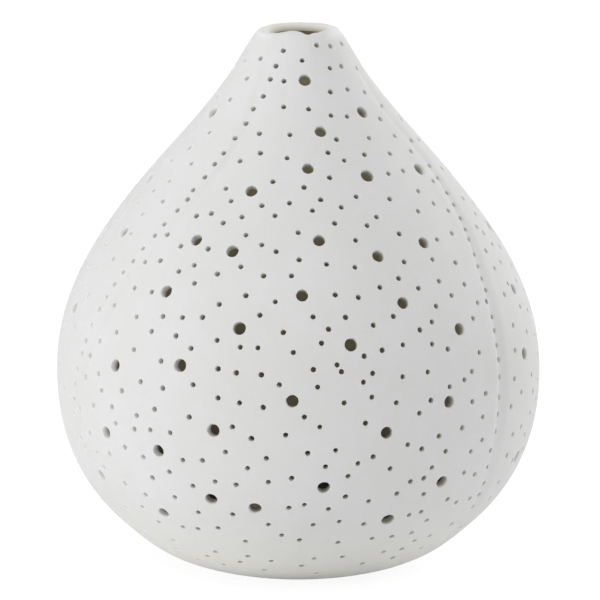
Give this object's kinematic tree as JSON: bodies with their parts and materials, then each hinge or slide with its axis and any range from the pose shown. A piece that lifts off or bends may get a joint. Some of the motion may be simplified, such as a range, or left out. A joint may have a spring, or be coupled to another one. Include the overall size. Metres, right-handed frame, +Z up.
{
  "type": "tealight holder",
  "caption": "Fig-shaped pierced porcelain shade that stands over a tealight on a small dish, open at the foot and at the narrow mouth.",
  "frame": {"origin": "on the surface that the holder stands on, under the middle of the shade", "axes": "+Z up along the shade's upright axis; -Y is the front that the picture shows"},
  "size_m": [0.15, 0.15, 0.1686],
  "materials": {
    "bisque_porcelain": "unglazed, fired matt white with a fine tooth",
    "dish_porcelain": "unglazed, fired matt white",
    "cup_aluminium": "drawn thin sheet, satin",
    "wax": "pressed paraffin wax, waxy sheen",
    "tinned_sheet": "tinned, stamped",
    "wick_cotton": "braided, waxed cotton"
  },
  "bodies": {
    "dish": {"base_dish": "dish_porcelain"},
    "shade": {"shade": "bisque_porcelain"},
    "tealight": {"tealight_cup": "cup_aluminium", "tealight_wax": "wax", "wick_sustainer": "tinned_sheet", "wick": "wick_cotton"}
  },
  "joints": [
    {"name": "shade_lift", "type": "slide", "parent": "dish", "child": "shade", "axis": [0, 0, 1], "range_m": [0, 0.06]},
    {"name": "tealight_lift", "type": "slide", "parent": "dish", "child": "tealight", "axis": [0, 0, 1], "range_m": [0, 0.03]}
  ]
}
